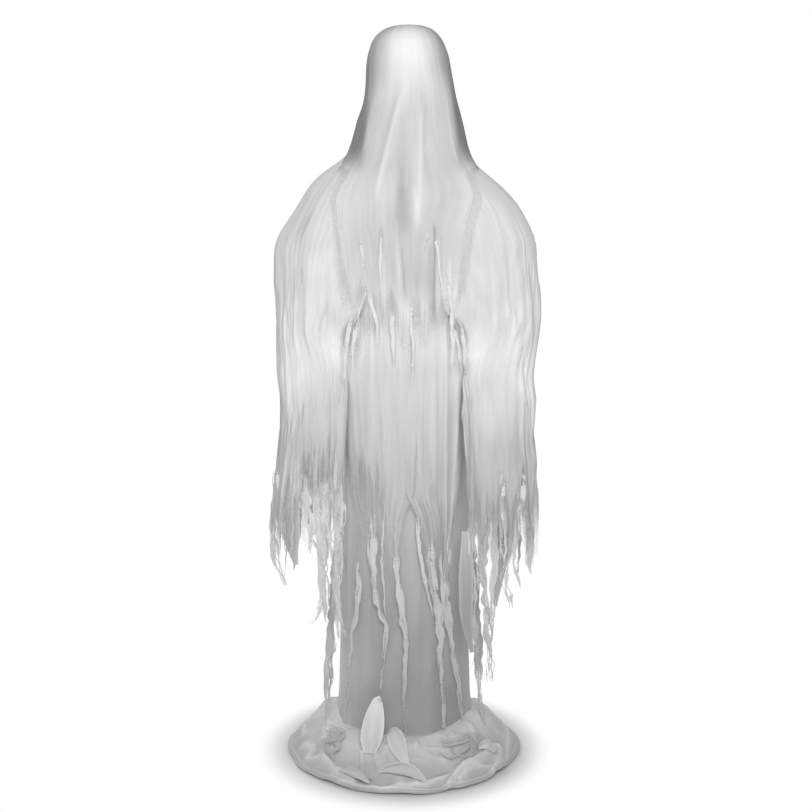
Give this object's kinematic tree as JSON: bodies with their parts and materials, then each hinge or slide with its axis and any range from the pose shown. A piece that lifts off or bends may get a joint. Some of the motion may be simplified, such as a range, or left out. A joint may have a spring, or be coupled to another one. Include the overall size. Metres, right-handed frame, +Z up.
{
  "type": "animated ghost figure",
  "caption": "Standing faceless figure draped in torn gauze and satin over a pole frame, with geared waist and neck turns and lifting arms.",
  "frame": {"origin": "on the floor, at the middle of the base hub's flat underside, on the axis of the centre pole", "axes": "+Z up the pole, -Y the figure's front, +X to the right when seen from the front"},
  "size_m": [0.6614, 0.5928, 1.83],
  "materials": {
    "black_abs": "moulded, fine spark texture",
    "grey_abs": "moulded, satin",
    "white_blown": "blow-moulded, satin",
    "white_acetal": "moulded, smooth",
    "red_button": "moulded, glossy",
    "foot_rubber": "matt",
    "plated_steel": "zinc plated",
    "sintered_bronze": "sintered, oiled",
    "painted_tube": "powder coat",
    "circuit_board": "solder mask",
    "gauze": "open weave, torn",
    "satin": "soft sheen"
  },
  "bodies": {
    "base": {"base_housing": "black_abs", "base_cover": "black_abs", "battery_door": "black_abs", "battery_door_screw": "plated_steel", "battery_tray": "grey_abs", "foot_front_left": "foot_rubber", "foot_front_right": "foot_rubber", "foot_rear_left": "foot_rubber", "foot_rear_right": "foot_rubber", "cover_screw_front_left": "plated_steel", "cover_screw_front_right": "plated_steel", "cover_screw_rear_left": "plated_steel", "cover_screw_rear_right": "plated_steel", "control_board": "circuit_board", "speaker": "black_abs", "power_inlet": "black_abs", "button_spring": "plated_steel", "lower_pole": "painted_tube", "upper_pole": "painted_tube", "snap_spring": "plated_steel", "waist_drive_case": "grey_abs", "waist_drive_lid": "grey_abs", "waist_motor": "plated_steel", "waist_lower_bush": "sintered_bronze", "waist_upper_bush": "sintered_bronze", "hem_puddle": "satin", "gown_skirt": "satin"},
    "power_switch": {"power_switch": "grey_abs"},
    "test_button": {"test_button": "red_button"},
    "snap_button": {"snap_button": "plated_steel"},
    "waist_pinion": {"waist_pinion": "white_acetal"},
    "torso": {"waist_gear": "white_acetal", "waist_shaft": "plated_steel", "spine_tube": "painted_tube", "shoulder_yoke": "black_abs", "neck_drive_case": "grey_abs", "neck_drive_lid": "grey_abs", "neck_motor": "plated_steel", "neck_bush": "sintered_bronze", "gown_body": "satin", "shoulder_cape": "gauze"},
    "neck_pinion": {"neck_pinion": "white_acetal"},
    "head": {"neck_gear": "white_acetal", "neck_shaft": "plated_steel", "head_hub": "black_abs", "head_shell_front": "white_blown", "head_shell_back": "white_blown", "hood": "gauze"},
    "left_arm": {"left_pivot_bolt": "plated_steel", "left_wing_nut": "plated_steel", "left_upper_arm": "grey_abs", "left_elbow": "black_abs", "left_forearm": "grey_abs", "left_sleeve": "gauze"},
    "right_arm": {"right_pivot_bolt": "plated_steel", "right_wing_nut": "plated_steel", "right_upper_arm": "grey_abs", "right_elbow": "black_abs", "right_forearm": "grey_abs", "right_sleeve": "gauze"}
  },
  "joints": [
    {"name": "waist_turn", "type": "hinge", "parent": "base", "child": "torso", "pos_m": [0, 0, 1], "axis": [0, 0, 1], "range_deg": [-30, 30]},
    {"name": "waist_pinion_spin", "type": "hinge", "parent": "base", "child": "waist_pinion", "pos_m": [0, 0.048, 0.978], "axis": [0, 0, 1], "range_deg": [-90, 90]},
    {"name": "neck_turn", "type": "hinge", "parent": "torso", "child": "head", "pos_m": [0, 0, 1.48], "axis": [0, 0, 1], "range_deg": [-35, 35]},
    {"name": "neck_pinion_spin", "type": "hinge", "parent": "torso", "child": "neck_pinion", "pos_m": [0, 0.036, 1.48], "axis": [0, 0, 1], "range_deg": [-70, 70]},
    {"name": "left_arm_lift", "type": "hinge", "parent": "torso", "child": "left_arm", "pos_m": [-0.208, 0, 1.42], "axis": [-1, 0, 0], "range_deg": [0, 40]},
    {"name": "right_arm_lift", "type": "hinge", "parent": "torso", "child": "right_arm", "pos_m": [0.208, 0, 1.42], "axis": [-1, 0, 0], "range_deg": [0, 40]},
    {"name": "power_switch_slide", "type": "slide", "parent": "base", "child": "power_switch", "axis": [1, 0, 0], "range_m": [0, 0.005]},
    {"name": "test_button_press", "type": "slide", "parent": "base", "child": "test_button", "axis": [0, -1, 0], "range_m": [0, 0.0025], "stiffness_N_per_m": 400, "springref_m": -0.002, "deforming": ["button_spring"]},
    {"name": "snap_button_press", "type": "slide", "parent": "base", "child": "snap_button", "axis": [0, 1, 0], "range_m": [0, 0.004], "stiffness_N_per_m": 1200, "springref_m": -0.001}
  ],
  "couplings": [
    {"joint": "waist_pinion_spin", "follows": "waist_turn", "ratio": -3},
    {"joint": "neck_pinion_spin", "follows": "neck_turn", "ratio": -2}
  ]
}
